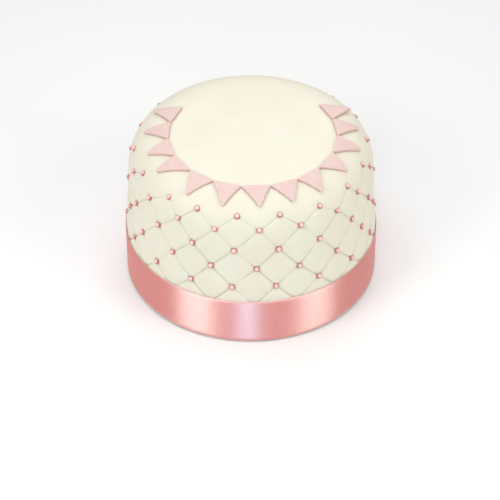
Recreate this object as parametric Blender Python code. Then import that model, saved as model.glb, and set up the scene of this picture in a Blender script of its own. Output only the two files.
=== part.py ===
"""A round birthday cake covered in cream rolled icing.

The side is embossed with a diamond quilt that carries a sugar pearl at each crossing. Thirteen
pennants of rolled icing lie round the rim of the top, and a satin ribbon is wrapped round the foot.

Metres, +Z up. The origin is the middle of the base, and the front of the cake faces -Y.
A place on the icing is an azimuth, 0 at the front and positive to the right, and a distance
measured along the surface from the middle of the top.
"""

import math
import random
from bisect import bisect_right
from collections import namedtuple

import bmesh
import bpy
from mathutils import Vector

TURN = 2 * math.pi
MESH_GAP = 0.0003  # between neighbouring pieces that touch

# The cake's outline
HEIGHT = 0.130
SIDE_RADIUS = 0.0988  # behind the ribbon
SIDE_TAPER = 0.065  # radius lost for each unit of height above the ribbon
TOP_CROWN = 0.0012  # the middle of the top stands this far above the shoulder's start
SHOULDER_WIDTH = 0.0488
SHOULDER_HEIGHT = 0.0531
SHOULDER_FULLNESS = 3.6  # 2 is an ellipse, more is squarer
SHOULDER_STEPS = 48
FOOT_ROUNDING = 0.004
FOOT_STEPS = 4

# The embossed quilt
QUILT_COLUMNS = 18
HALF_COLUMN = math.pi / QUILT_COLUMNS
QUILT_TURN = math.radians(13.75)  # azimuth of a crossing in the top row
QUILT_LEAN = math.radians(-0.5)  # each row is turned this much against the one above
TOP_ROW = 0.0945  # distance of the top row from the middle of the top
TOP_ROW_GAP = 0.0124
ROW_GAP = 0.0172
CROSSING_ROWS = 6
GROOVE_SHARE = 0.036  # half of a groove's width, as a share of a diamond's side
GROOVE_DEPTH = 0.0008
PILLOW_DEPTH = 0.0006  # a diamond's edge lies this far below its middle
TOP_FADE = 0.35  # share of the relief that is left at the top row
WOBBLE = 0.00045  # how unevenly the crossings are pressed in
WOBBLE_SEED = 7
# Crossings well off their even place: (half column, row) to millimetres to the right and down
STRAYED_MM = {
    (-6, 0): (5.5, 0.5),
    (2, 0): (1.0, 2.0),
    (6, 0): (-2.5, -1.0),
    (-9, 1): (3.5, -4.0),
    (-7, 1): (3.0, -1.0),
    (-5, 1): (2.0, 0.5),
    (5, 1): (-6.0, -1.5),
    (7, 1): (-7.5, -4.0),
    (6, 2): (-2.5, 0.0),
    (-7, 3): (-3.5, 2.5),
    (1, 3): (0.0, 2.0),
    (3, 3): (0.5, 2.5),
    (4, 4): (1.0, 2.0),
}

# The sugar pearls
PEARL_ROWS = 5
PEARL_RADIUS = 0.00245
PEARL_UNEVENNESS = 0.06
PEARL_STANDOFF = -0.0012  # a pearl's middle, which has sunk below the smooth icing
PEARL_SIDES = 8
PEARL_BANDS = 4
PEARL_SEED = 11

# The smooth icing above the quilt: distances of its rings from the middle of the top
SMOOTH_SIDES = 60
RIM_RINGS = (0.0885, 0.083, 0.077, 0.070, 0.060, 0.045, 0.022)

# The pennants, laid end to end along an arc, the garland
PENNANTS = 13
GARLAND_FROM = math.radians(-122.5)
GARLAND_TO = math.radians(126.5)
GARLAND_RADIUS = 0.0648
GARLAND_MIDDLE = Vector((0.0011, -0.0059))  # it isn't quite centred on the cake
PENNANT_GAP = 0.0007
PENNANT_THICKNESS = 0.0024
PENNANT_STEPS = 5
# How far each tip reaches out and swings to the right, in millimetres, from the left end
TIP_REACHES_MM = (22.0, 21.5, 20.0, 20.0, 20.5, 20.0, 18.5, 18.5, 19.2, 19.0, 21.3, 21.0, 22.0)
TIP_SWINGS_MM = (-2.0, -2.7, -2.8, -8.5, -0.3, 1.9, 2.7, 1.3, -1.3, 3.0, 4.8, 2.7, -1.5)
LAST_TIP_LIFT = 0.0022  # the last pennant's tip has come up off the icing

# The ribbon
RIBBON_WIDTH = 0.040
RIBBON_THICKNESS = 0.0004
RIBBON_RADIUS = 0.1000
RIBBON_CLEARANCE = 0.0006  # its lower edge above the base, at the front
RIBBON_RISE = 0.0020  # and further up than that towards the sides and the back
RIBBON_OVERLAP = math.radians(15)
RIBBON_STEP_UP = math.radians(5)  # the outer end climbs over the inner one in this much
RIBBON_SIDES = 96

SMOOTH_ANGLE = math.radians(30)  # faces that meet at less than this are shaded as one surface

Spot = namedtuple("Spot", "vertex azimuth distance")


class Skin:
    """The cake's smooth outer surface, turned from one half of its outline."""

    def __init__(self, outline):
        self.outline = outline
        self.distances = [0.0]
        for a, b in zip(outline, outline[1:]):
            self.distances.append(self.distances[-1] + math.dist(a, b))

    def point(self, azimuth, distance, out=0.0):
        """The place at that azimuth and distance, moved outwards by out."""
        last = len(self.outline) - 1
        i = min(max(bisect_right(self.distances, distance), 1), last)
        a, b = (Vector(p) for p in self.outline[i - 1 : i + 1])
        share = (distance - self.distances[i - 1]) / (self.distances[i] - self.distances[i - 1])
        along = (b - a).normalized()
        place = a.lerp(b, share) + out * Vector((-along.y, along.x))
        return Vector((place.x * math.sin(azimuth), -place.x * math.cos(azimuth), place.y))

    def normal(self, azimuth, distance):
        return self.point(azimuth, distance, 1.0) - self.point(azimuth, distance)


def cake_outline():
    """(radius, height) from the middle of the top, over the shoulder and down to the base's edge."""
    shoulder_foot = HEIGHT - TOP_CROWN - SHOULDER_HEIGHT
    shoulder_radius = SIDE_RADIUS - SIDE_TAPER * (shoulder_foot - RIBBON_WIDTH)
    flat_radius = shoulder_radius - SHOULDER_WIDTH
    outline = [(0.0, HEIGHT), (flat_radius / 2, HEIGHT - TOP_CROWN / 4)]
    power = 2 / SHOULDER_FULLNESS
    for i in range(SHOULDER_STEPS + 1):
        angle = math.pi / 2 * i / SHOULDER_STEPS
        radius = flat_radius + SHOULDER_WIDTH * math.sin(angle) ** power
        outline.append((radius, shoulder_foot + SHOULDER_HEIGHT * max(math.cos(angle), 0.0) ** power))
    outline.append((SIDE_RADIUS, RIBBON_WIDTH))
    for i in range(FOOT_STEPS + 1):
        angle = math.pi / 2 * i / FOOT_STEPS
        inset = FOOT_ROUNDING * (1 - math.cos(angle))
        outline.append((SIDE_RADIUS - inset, FOOT_ROUNDING * (1 - math.sin(angle))))
    return outline


class Quilt:
    """The lattice of grooves: crossing (p, q) lies in row p + q and in half column p - q."""

    POSITIONS = (0.0, GROOVE_SHARE, 0.5, 1 - GROOVE_SHARE)  # samples along a diamond's side
    SAMPLES = len(POSITIONS)

    def __init__(self):
        draw = random.Random(WOBBLE_SEED)
        keys = [(column, row) for row in range(CROSSING_ROWS) for column in range(2 * QUILT_COLUMNS)]
        self.wobble = {key: (draw.gauss(0, WOBBLE) / SIDE_RADIUS, draw.gauss(0, WOBBLE)) for key in keys}
        for (column, row), (right, down) in STRAYED_MM.items():
            self.wobble[column % (2 * QUILT_COLUMNS), row] = (right / 1000 / SIDE_RADIUS, down / 1000)

    def crossing(self, p, q):
        """(azimuth, distance) of a crossing."""
        row = p + q
        turned, dropped = self.wobble[(p - q) % (2 * QUILT_COLUMNS), row]
        distance = TOP_ROW + (TOP_ROW_GAP if row else 0.0) + ROW_GAP * max(row - 1, 0)
        return QUILT_TURN + HALF_COLUMN * (p - q) + QUILT_LEAN * row + turned, distance + dropped

    def place(self, p, q, s, t):
        """(azimuth, distance) at the shares s and t of the diamond that starts at crossing (p, q)."""
        corners = [((1 - s) * (1 - t), (p, q)), (s * (1 - t), (p + 1, q))]
        corners += [((1 - s) * t, (p, q + 1)), (s * t, (p + 1, q + 1))]
        azimuth = distance = 0.0
        for weight, crossing in corners:
            if weight:
                turned, along = self.crossing(*crossing)
                azimuth += weight * turned
                distance += weight * along
        return azimuth, distance

    def relief(self, row, s, t):
        """How far the icing at that row, which need not be whole, lies from the smooth skin."""
        fade = TOP_FADE + (1 - TOP_FADE) * min(max(row, 0.0), 1.0)
        puff = (1 - (2 * s - 1) ** 4) * (1 - (2 * t - 1) ** 4)
        pressed = GROOVE_DEPTH if 0.0 in (s, t) else 0.0
        return -fade * (pressed + PILLOW_DEPTH * (1 - puff))


class IcingMesh:
    """Builds the cake's closed mesh: quilt, smooth icing above and below it, and base."""

    def __init__(self, skin, quilt):
        self.skin = skin
        self.quilt = quilt
        self.bm = bmesh.new()
        self.shared = {}

    def spot(self, azimuth, distance, out=0.0):
        return Spot(self.bm.verts.new(self.skin.point(azimuth, distance, out)), azimuth, distance)

    def quilt_spot(self, i, j):
        """The spot at samples i and j along the two groove directions; neighbours share it."""
        key = ((i - j) % (2 * QUILT_COLUMNS * Quilt.SAMPLES), i + j)
        if key not in self.shared:
            (p, i), (q, j) = divmod(i, Quilt.SAMPLES), divmod(j, Quilt.SAMPLES)
            s, t = Quilt.POSITIONS[i], Quilt.POSITIONS[j]
            out = self.quilt.relief(p + q + s + t, s, t)
            self.shared[key] = self.spot(*self.quilt.place(p, q, s, t), out)
        return self.shared[key]

    def add_diamonds(self):
        for row in range(CROSSING_ROWS - 2):
            for p in range(QUILT_COLUMNS):
                first_i, first_j = Quilt.SAMPLES * p, Quilt.SAMPLES * (row - p)
                for i in range(first_i, first_i + Quilt.SAMPLES):
                    for j in range(first_j, first_j + Quilt.SAMPLES):
                        corners = ((i, j), (i, j + 1), (i + 1, j + 1), (i + 1, j))
                        self.bm.faces.new([self.quilt_spot(*corner).vertex for corner in corners])

    def zigzag(self, row):
        """The loop of grooves between that row of crossings and the next, by rising azimuth."""
        n = Quilt.SAMPLES
        loop = []
        for p in range(QUILT_COLUMNS):
            i, j = n * p, n * (row - p)
            if row == 0:  # from the row below up to this row and down again
                steps = [(i, j + k) for k in range(n, 0, -1)] + [(i + k, j) for k in range(n)]
            else:  # from this row down to the row below and up again
                steps = [(i + k, j) for k in range(n)] + [(i + n, j - k) for k in range(n)]
            loop += [self.quilt_spot(*step) for step in steps]
        return loop

    def lip(self, zigzag, shift, fade):
        """The loop beside a zigzag, where its groove's outer flank meets the smooth icing."""
        out = -fade * PILLOW_DEPTH / 2
        return [self.spot(azimuth, distance + shift, out) for _, azimuth, distance in zigzag]

    def ring(self, distance):
        return [self.spot(TURN * i / SMOOTH_SIDES, distance) for i in range(SMOOTH_SIDES)]

    def band(self, upper, lower):
        """Quads between two loops whose spots pair up."""
        for i in range(len(upper)):
            corners = (upper[i - 1], lower[i - 1], lower[i], upper[i])
            self.bm.faces.new([corner.vertex for corner in corners])

    def stitch(self, upper, lower):
        """Triangles between two closed loops of any counts, going round by azimuth."""

        def unrolled(loop):
            turns = sorted(((spot.azimuth - upper[0].azimuth) % TURN, i) for i, spot in enumerate(loop))
            found = [(angle, loop[i].vertex) for angle, i in turns]
            return [*found, (found[0][0] + TURN, found[0][1])]

        above, below = unrolled(upper), unrolled(lower)
        i = j = 0
        while i + 1 < len(above) or j + 1 < len(below):
            below_done = j + 1 == len(below)
            if below_done or (i + 1 < len(above) and above[i + 1][0] <= below[j + 1][0]):
                i += 1
                corners = (above[i - 1], below[j], above[i])
            else:
                j += 1
                corners = (above[i], below[j - 1], below[j])
            self.bm.faces.new([vertex for _, vertex in corners])

    def build(self):
        self.add_diamonds()
        lip_shift = 2 * GROOVE_SHARE * math.hypot(HALF_COLUMN * SIDE_RADIUS, ROW_GAP)
        top, bottom = self.zigzag(0), self.zigzag(CROSSING_ROWS - 2)
        top_lip, bottom_lip = self.lip(top, -lip_shift, TOP_FADE), self.lip(bottom, lip_shift, 1.0)
        self.band(top_lip, top)
        self.band(bottom, bottom_lip)

        rings = [self.ring(distance) for distance in RIM_RINGS]
        self.stitch(rings[0], top_lip)
        for lower, upper in zip(rings, rings[1:]):
            self.band(upper, lower)
        middle = self.spot(0.0, 0.0).vertex
        for i in range(SMOOTH_SIDES):
            self.bm.faces.new((middle, rings[-1][i - 1].vertex, rings[-1][i].vertex))

        foot = [self.ring(distance) for distance in self.skin.distances[-FOOT_STEPS - 1 :]]
        self.stitch(bottom_lip, foot[0])
        for upper, lower in zip(foot, foot[1:]):
            self.band(upper, lower)
        self.bm.faces.new([spot.vertex for spot in reversed(foot[-1])])
        return mesh_of(self.bm, "cake_body")


def mesh_of(bm, name):
    """The finished mesh, its faces pointing outwards."""
    bmesh.ops.recalc_face_normals(bm, faces=bm.faces)
    mesh = bpy.data.meshes.new(name)
    bm.to_mesh(mesh)
    bm.free()
    return mesh


def material(name, colour, roughness, sheen=0.0):
    """A Principled material with that colour and finish."""
    made = bpy.data.materials.new(name)
    made.use_nodes = True
    shader = made.node_tree.nodes["Principled BSDF"]
    shader.inputs["Base Color"].default_value = (*colour, 1.0)
    shader.inputs["Roughness"].default_value = roughness
    shader.inputs["Metallic"].default_value = 0.0
    shader.inputs["Sheen Weight"].default_value = sheen
    return made


def add_object(name, mesh, finish):
    mesh.materials.append(finish)
    made = bpy.data.objects.new(name, mesh)
    bpy.context.scene.collection.objects.link(made)
    return made


def smooth(obj):
    obj.data.shade_smooth()
    obj.data.set_sharp_from_angle(angle=SMOOTH_ANGLE)


def add_pearl(collection, skin, spot, radius, finish):
    """A sugar pearl whose poles point into and out of the icing."""
    bm = bmesh.new()
    bmesh.ops.create_uvsphere(bm, u_segments=PEARL_SIDES, v_segments=PEARL_BANDS, radius=radius)
    pearl = bpy.data.objects.new("pearl", mesh_of(bm, "pearl"))
    pearl.data.materials.append(finish)
    pearl.location = skin.point(*spot, PEARL_STANDOFF)
    pearl.rotation_euler = skin.normal(*spot).to_track_quat("Z", "Y").to_euler()
    collection.objects.link(pearl)


def fuse_pearls(body, skin, quilt, finish):
    """Joins a pearl to the icing at each crossing of the pearl rows, with one union."""
    draw = random.Random(PEARL_SEED)
    pearls = bpy.data.collections.new("pearls")
    bpy.context.scene.collection.children.link(pearls)
    for row in range(PEARL_ROWS):
        for p in range(QUILT_COLUMNS):
            radius = PEARL_RADIUS * (1 + draw.uniform(-PEARL_UNEVENNESS, PEARL_UNEVENNESS))
            add_pearl(pearls, skin, quilt.crossing(p, row - p), radius, finish)

    union = body.modifiers.new("pearls", "BOOLEAN")
    union.operation = "UNION"
    union.operand_type = "COLLECTION"
    union.collection = pearls
    union.material_mode = "TRANSFER"
    bpy.context.view_layer.update()
    graph = bpy.context.evaluated_depsgraph_get()
    fused = bpy.data.meshes.new_from_object(body.evaluated_get(graph))
    body.modifiers.remove(union)
    body.data = fused
    for pearl in list(pearls.objects):
        bpy.data.objects.remove(pearl)
    bpy.data.collections.remove(pearls)


def garland_point(share):
    """A point of the garland in the plane of the top, unrolled over the shoulder."""
    azimuth = GARLAND_FROM + (GARLAND_TO - GARLAND_FROM) * share
    return GARLAND_MIDDLE + GARLAND_RADIUS * Vector((math.sin(azimuth), -math.cos(azimuth)))


def pennant_corners(index):
    """(left, right, tip) of a pennant in the unrolled plane."""
    left, right = garland_point(index / PENNANTS), garland_point((index + 1) / PENNANTS)
    along = (right - left).normalized()
    left, right = left + along * PENNANT_GAP / 2, right - along * PENNANT_GAP / 2
    outwards = Vector((along.y, -along.x))
    tip = (left + right) / 2 + (outwards * TIP_REACHES_MM[index] + along * TIP_SWINGS_MM[index]) / 1000
    return left, right, tip


def drape(skin, flat, out):
    """Lays a point of the unrolled plane on the icing, at its own distance and azimuth."""
    return skin.point(math.atan2(flat.x, -flat.y), flat.length, out)


def pennant_mesh(skin, index):
    """A triangular slab bent over the shoulder."""
    left, right, tip = pennant_corners(index)
    lift = LAST_TIP_LIFT if index == PENNANTS - 1 else 0.0
    bm = bmesh.new()
    outlines = []
    for out in (MESH_GAP, MESH_GAP + PENNANT_THICKNESS):
        rows = []
        for i in range(PENNANT_STEPS + 1):
            share, count = i / PENNANT_STEPS, PENNANT_STEPS - i
            a, b = left.lerp(tip, share), right.lerp(tip, share)
            row = [a.lerp(b, k / count) for k in range(count + 1)] if count else [tip]
            rows.append([bm.verts.new(drape(skin, flat, out + lift * share**2)) for flat in row])
        for upper, lower in zip(rows, rows[1:]):
            for k in range(len(lower)):
                bm.faces.new((upper[k], lower[k], upper[k + 1]))
            for k in range(len(lower) - 1):
                bm.faces.new((lower[k], lower[k + 1], upper[k + 1]))
        right_edge, left_edge = [row[-1] for row in rows[1:]], [row[0] for row in rows[1:-1]]
        outlines.append([*rows[0], *right_edge, *reversed(left_edge)])

    under, over = outlines
    for i in range(len(under)):
        bm.faces.new((under[i - 1], over[i - 1], over[i], under[i]))
    return mesh_of(bm, "pennant")


def ribbon_low_edge(azimuth):
    """Height of the ribbon's lower edge, which rises a little away from the front."""
    share = min(abs(math.remainder(azimuth, TURN)) / (math.pi / 2), 1.0)
    return RIBBON_CLEARANCE + RIBBON_RISE * share * share * (3 - 2 * share)


def ribbon_mesh():
    """One strip wound once round the foot, its outer end lapped over its inner end at the back."""
    sweep = TURN + RIBBON_OVERLAP
    climb = RIBBON_THICKNESS + MESH_GAP
    bm = bmesh.new()
    sections = []
    for i in range(RIBBON_SIDES + 1):
        swept = sweep * i / RIBBON_SIDES
        azimuth = math.pi - RIBBON_OVERLAP / 2 - swept
        climbed = min(max(1 + (swept - TURN) / RIBBON_STEP_UP, 0.0), 1.0)
        outer = RIBBON_RADIUS + climb * climbed
        low = ribbon_low_edge(azimuth)
        corners = [(outer, low), (outer, low + RIBBON_WIDTH)]
        corners += [(outer - RIBBON_THICKNESS, low + RIBBON_WIDTH), (outer - RIBBON_THICKNESS, low)]
        section = [Vector((r * math.sin(azimuth), -r * math.cos(azimuth), z)) for r, z in corners]
        sections.append([bm.verts.new(corner) for corner in section])
    for a, b in zip(sections, sections[1:]):
        for i in range(4):
            bm.faces.new((a[i - 1], a[i], b[i], b[i - 1]))
    bm.faces.new(sections[0])
    bm.faces.new(sections[-1])
    return mesh_of(bm, "ribbon")


def main():
    for old in list(bpy.data.objects):
        bpy.data.objects.remove(old)

    cream_icing = material("cream_icing", (0.91, 0.87, 0.74), 0.5)
    pink_icing = material("pink_icing", (0.91, 0.64, 0.60), 0.55)
    sugar_pearl = material("sugar_pearl", (0.78, 0.30, 0.32), 0.3)
    satin = material("pink_satin", (0.80, 0.36, 0.36), 0.35, sheen=0.4)

    skin, quilt = Skin(cake_outline()), Quilt()
    body = add_object("cake_body", IcingMesh(skin, quilt).build(), cream_icing)
    fuse_pearls(body, skin, quilt, sugar_pearl)
    smooth(body)
    for index in range(PENNANTS):
        add_object(f"flag_{index + 1:02d}", pennant_mesh(skin, index), pink_icing)
    smooth(add_object("ribbon", ribbon_mesh(), satin))


main()
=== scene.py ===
"""The finished look of a round birthday cake covered in cream rolled icing.

A diamond quilt is pressed into the side, and a sugar pearl sits on each crossing above the ribbon.
Thirteen pennants of pink icing lie round the rim of the top, and a satin ribbon goes round the foot.

Metres, +Z up. The cake stands on the origin, and its front faces -Y. A place on the icing is an
azimuth, 0 at the front and positive to the right, and a distance measured along the surface from
the middle of the top.
"""

import logging
import math
import random
from collections.abc import Callable, Mapping, Sequence
from dataclasses import dataclass, field
from enum import Enum
from functools import cached_property
from itertools import pairwise
from typing import Any

import bpy
import numpy as np
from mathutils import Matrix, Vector


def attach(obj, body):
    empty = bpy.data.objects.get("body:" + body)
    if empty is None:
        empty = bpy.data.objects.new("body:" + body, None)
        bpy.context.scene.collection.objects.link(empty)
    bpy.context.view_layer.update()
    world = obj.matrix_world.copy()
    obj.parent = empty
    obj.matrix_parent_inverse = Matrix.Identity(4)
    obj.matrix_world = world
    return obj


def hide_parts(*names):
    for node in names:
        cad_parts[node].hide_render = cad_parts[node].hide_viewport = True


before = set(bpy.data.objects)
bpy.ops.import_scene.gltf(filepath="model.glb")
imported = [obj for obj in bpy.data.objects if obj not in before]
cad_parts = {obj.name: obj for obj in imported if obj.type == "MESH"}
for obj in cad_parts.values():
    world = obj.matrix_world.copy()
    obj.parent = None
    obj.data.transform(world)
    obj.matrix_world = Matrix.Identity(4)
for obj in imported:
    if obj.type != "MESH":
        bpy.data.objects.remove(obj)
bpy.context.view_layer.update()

Colour = tuple[float, float, float]
Span = tuple[float, float]

TURN = 2 * math.pi
QUARTER = math.pi / 2
DIAGONAL = math.sqrt(0.5)
MM = 0.001
NOISE_MIDDLE = 0.5
HAIR = 1e-9  # radians, more than rounding and less than any step of the mesh
ROOT = "root"

log = logging.getLogger("birthday_cake")


class Slot(Enum):
    """The record's material slots."""

    CREAM_ICING = "cream_icing"
    PINK_ICING = "pink_icing"
    SUGAR_PEARL = "sugar_pearl"
    PINK_SATIN = "pink_satin"


class Mark(Enum):
    """The values that a mesh carries."""

    OUTWARD = "outward"  # direction straight out of the smooth cake
    GROOVE = "groove"  # distance to the nearest groove's middle
    PUFF = "puff"  # 0 at a diamond's edge to 1 on its pillow
    FADE = "fade"  # how much of the quilt's relief is there
    CREASE = "crease"  # how much of a soft fold is there
    DIMPLE = "dimple"  # 1 under a pearl, falling to 0 round it
    PRESSED = "pressed"  # 0 on the open icing to 1 in a groove; it also places painted shade in the grooves
    RADIUS = "radius"  # a pearl's
    TONE = "tone"  # 0 to 1, a pearl's own shade
    CROWN = "crown"  # 1 on the upward-facing crown of a pearl, falling off towards the icing; it places the pearls' painted highlight
    CUT = "cut"  # 1 on a pennant's cut edge, 0 on its face; it places painted shade on the cut edge
    ALONG = "along"  # metres along the ribbon
    ACROSS = "across"  # metres up from the middle of the ribbon's width
    UV = "UVMap"  # the last two as the ribbon's flat map


# ---------------------------------------------------------------- node trees as expressions


class Wire:
    """An output socket that turns arithmetic into Math nodes."""

    def __init__(self, graph: "Graph", socket: bpy.types.NodeSocket) -> None:
        """Keeps the graph and one of its output sockets."""
        self.graph = graph
        self.socket = socket

    def math(self, operation: str, *operands: "Wire | float") -> "Wire":
        """The result of a Math node with that operation and those operands."""
        return self.graph.node("ShaderNodeMath", {"operation": operation}, dict(enumerate(operands)))

    def __add__(self, other: "Wire | float") -> "Wire":
        """self + other."""
        return self.math("ADD", self, other)

    def __radd__(self, other: float) -> "Wire":
        """other + self."""
        return self.math("ADD", other, self)

    def __sub__(self, other: "Wire | float") -> "Wire":
        """self - other."""
        return self.math("SUBTRACT", self, other)

    def __rsub__(self, other: float) -> "Wire":
        """other - self."""
        return self.math("SUBTRACT", other, self)

    def __mul__(self, other: "Wire | float") -> "Wire":
        """self * other."""
        return self.math("MULTIPLY", self, other)

    def __rmul__(self, other: float) -> "Wire":
        """other * self."""
        return self.math("MULTIPLY", other, self)

    def __truediv__(self, other: "Wire | float") -> "Wire":
        """self / other."""
        return self.math("DIVIDE", self, other)

    def __rtruediv__(self, other: float) -> "Wire":
        """other / self."""
        return self.math("DIVIDE", other, self)

    def __neg__(self) -> "Wire":
        """-self."""
        return self.math("MULTIPLY", self, -1.0)

    def bell(self) -> "Wire":
        """1 where the value is 0, falling smoothly to 0 on both sides: exp(-value ** 2)."""
        return self.math("EXPONENT", -(self * self))

    def size(self) -> "Wire":
        """The value without its sign."""
        return self.math("ABSOLUTE", self)

    def ramp(self, low: float, high: float) -> "Wire":
        """0 up to low and 1 from high, and smooth in between."""
        inputs = {"Value": self, "From Min": low, "From Max": high}
        return self.graph.node("ShaderNodeMapRange", {"interpolation_type": "SMOOTHSTEP"}, inputs)


class Graph:
    """A node tree that is written as Python expressions."""

    def __init__(self, tree: bpy.types.NodeTree) -> None:
        """Keeps the tree."""
        self.tree = tree

    def node(
        self,
        kind: str,
        settings: Mapping[str, Any] | None = None,
        inputs: Mapping[str | int, Any] | None = None,
        output: str | int = 0,
    ) -> Wire:
        """Adds a node.

        Args:
            kind: The node's type, as Blender names it.
            settings: Its own properties, which are set first.
            inputs: A value or a wire for each socket, by its name or its place in the list.
            output: The socket that the wire comes from.

        Returns:
            That output as a wire.
        """
        made = self.tree.nodes.new(kind)
        for name, value in (settings or {}).items():
            setattr(made, name, value)
        for key, value in (inputs or {}).items():
            self.feed(made.inputs[key], value)
        return Wire(self, made.outputs[output])

    def feed(self, socket: bpy.types.NodeSocket, value: Any) -> None:
        """Gives a socket its value or its link.

        Args:
            socket: An input socket.
            value: A wire, a number, a vector, a colour, a name or a material.
        """
        if isinstance(value, Wire):
            self.tree.links.new(value.socket, socket)
        elif socket.type == "RGBA":
            socket.default_value = (*value, 1.0)
        else:
            socket.default_value = value

    def noise(
        self,
        place: Wire,
        grain: Wire | float,
        detail: float = 2.0,
        seed: Wire | None = None,
        output: str | int = 0,
    ) -> Wire:
        """Soft random bumps.

        Args:
            place: The point that is looked up.
            grain: The bumps' size, in the units of place.
            detail: How many finer layers there are.
            seed: A number that gives other bumps.
            output: Color for three numbers instead of one.

        Returns:
            The noise, about 0 to 1.
        """
        settings = {"noise_dimensions": "3D" if seed is None else "4D"}
        inputs = {"Vector": place, "Scale": 1 / grain, "Detail": detail}
        if seed is not None:
            inputs["W"] = seed
        return self.node("ShaderNodeTexNoise", settings, inputs, output)

    def vector(self, operation: str, *operands: Any, output: str | int = 0) -> Wire:
        """The result of a Vector Math node with that operation and those operands."""
        inputs = dict(enumerate(operands))
        return self.node("ShaderNodeVectorMath", {"operation": operation}, inputs, output)

    def scaled(self, vector: Wire, share: Wire | float) -> Wire:
        """A vector times a number."""
        return self.node("ShaderNodeVectorMath", {"operation": "SCALE"}, {0: vector, "Scale": share})

    def joined(self, **parts: Wire) -> Wire:
        """The vector with that X, Y and Z, and 0 for one that isn't given."""
        return self.node("ShaderNodeCombineXYZ", inputs=parts)

    def part(self, vector: Wire, axis: str) -> Wire:
        """A vector's X, Y or Z."""
        return self.node("ShaderNodeSeparateXYZ", inputs={0: vector}, output=axis)


class Surface(Graph):
    """The node tree of one material with a Principled shader."""

    def __init__(self, name: str) -> None:
        """Makes the material.

        Args:
            name: Its name.
        """
        self.material = bpy.data.materials.new(name)
        self.material.use_nodes = True
        super().__init__(self.material.node_tree)
        self.shader = self.tree.nodes["Principled BSDF"]

    def set(self, **finish: Any) -> None:
        """Gives the shader's sockets their values or links, with _ for a space in each name."""
        for name, value in finish.items():
            self.feed(self.shader.inputs[name.replace("_", " ")], value)

    def place(self) -> Wire:
        """The point in the cake's own frame, in metres."""
        return self.node("ShaderNodeTexCoord", output="Object")

    def mark(self, mark: Mark) -> Wire:
        """A value that the mesh carries."""
        return self.node("ShaderNodeAttribute", {"attribute_name": mark.value}, output="Fac")

    def mix(self, share: Wire, first: Wire | Colour, second: Wire | Colour) -> Wire:
        """A blend of two colours, where a share of 0 gives the first and 1 the second."""
        # The node has sockets for every data type, and these are the colours'
        return self.node("ShaderNodeMix", {"data_type": "RGBA"}, {0: share, 6: first, 7: second}, 2)

    def bump(self, height: Wire) -> Wire:
        """A normal for a surface that stands up by that height in metres."""
        return self.node("ShaderNodeBump", inputs={"Height": height, "Distance": 1.0})


class Recipe(Graph):
    """A Geometry Nodes tree with named sizes that turns a source mesh into a finished one."""

    def __init__(self, name: str) -> None:
        """Makes the tree.

        Args:
            name: Its name.
        """
        super().__init__(bpy.data.node_groups.new(name, "GeometryNodeTree"))
        for way in ("INPUT", "OUTPUT"):
            self.tree.interface.new_socket("Geometry", in_out=way, socket_type="NodeSocketGeometry")
        self.start = self.tree.nodes.new("NodeGroupInput")
        self.values: dict[str, float] = {}

    def source(self) -> Wire:
        """The source mesh."""
        return Wire(self, self.start.outputs["Geometry"])

    def amount(self, name: str, value: float) -> Wire:
        """Adds a named input, whole where its value is a whole number.

        Args:
            name: The input's name.
            value: What it is set to.

        Returns:
            The input as a wire.
        """
        kind = "NodeSocketInt" if isinstance(value, int) else "NodeSocketFloat"
        socket = self.tree.interface.new_socket(name, in_out="INPUT", socket_type=kind)
        self.values[socket.identifier] = value
        return Wire(self, self.start.outputs[name])

    def place(self) -> Wire:
        """Where each point is."""
        return self.node("GeometryNodeInputPosition")

    def mark(self, mark: Mark, kind: str = "FLOAT") -> Wire:
        """Reads a value that the mesh carries, of Blender's data type kind."""
        return self.node("GeometryNodeInputNamedAttribute", {"data_type": kind}, {"Name": mark.value})

    def store(self, geometry: Wire, mark: Mark, value: Wire, **settings: str) -> Wire:
        """The geometry with a value on it, a FLOAT on each POINT where settings don't differ."""
        inputs = {"Geometry": geometry, "Name": mark.value, "Value": value}
        return self.node("GeometryNodeStoreNamedAttribute", settings, inputs)

    def moved(self, geometry: Wire, offset: Wire) -> Wire:
        """The geometry with its points moved."""
        return self.node("GeometryNodeSetPosition", inputs={"Geometry": geometry, "Offset": offset})

    def finish(self, geometry: Wire, material: bpy.types.Material) -> None:
        """Ends the tree with real geometry in that material.

        Args:
            geometry: What the tree has made.
            material: Its finish.
        """
        real = self.node("GeometryNodeRealizeInstances", inputs={"Geometry": geometry})
        inputs = {"Geometry": real, "Material": material}
        dressed = self.node("GeometryNodeSetMaterial", inputs=inputs)
        end = self.tree.nodes.new("NodeGroupOutput")
        self.feed(end.inputs["Geometry"], dressed)

    def run(self, piece: bpy.types.Object) -> None:
        """Runs the tree on an object and leaves it with the plain mesh that comes out.

        Args:
            piece: The object, which holds the source mesh.
        """
        modifier = piece.modifiers.new("recipe", "NODES")
        modifier.node_group = self.tree
        for identifier, value in self.values.items():
            modifier[identifier] = value
        flatten(piece)


def flatten(piece: bpy.types.Object) -> None:
    """Applies an object's modifiers and removes them.

    Args:
        piece: The object.
    """
    bpy.context.view_layer.update()
    graph = bpy.context.evaluated_depsgraph_get()
    mesh = bpy.data.meshes.new_from_object(piece.evaluated_get(graph))
    piece.modifiers.clear()
    mesh.name = piece.name
    piece.data = mesh


# ---------------------------------------------------------------- finishes


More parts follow.
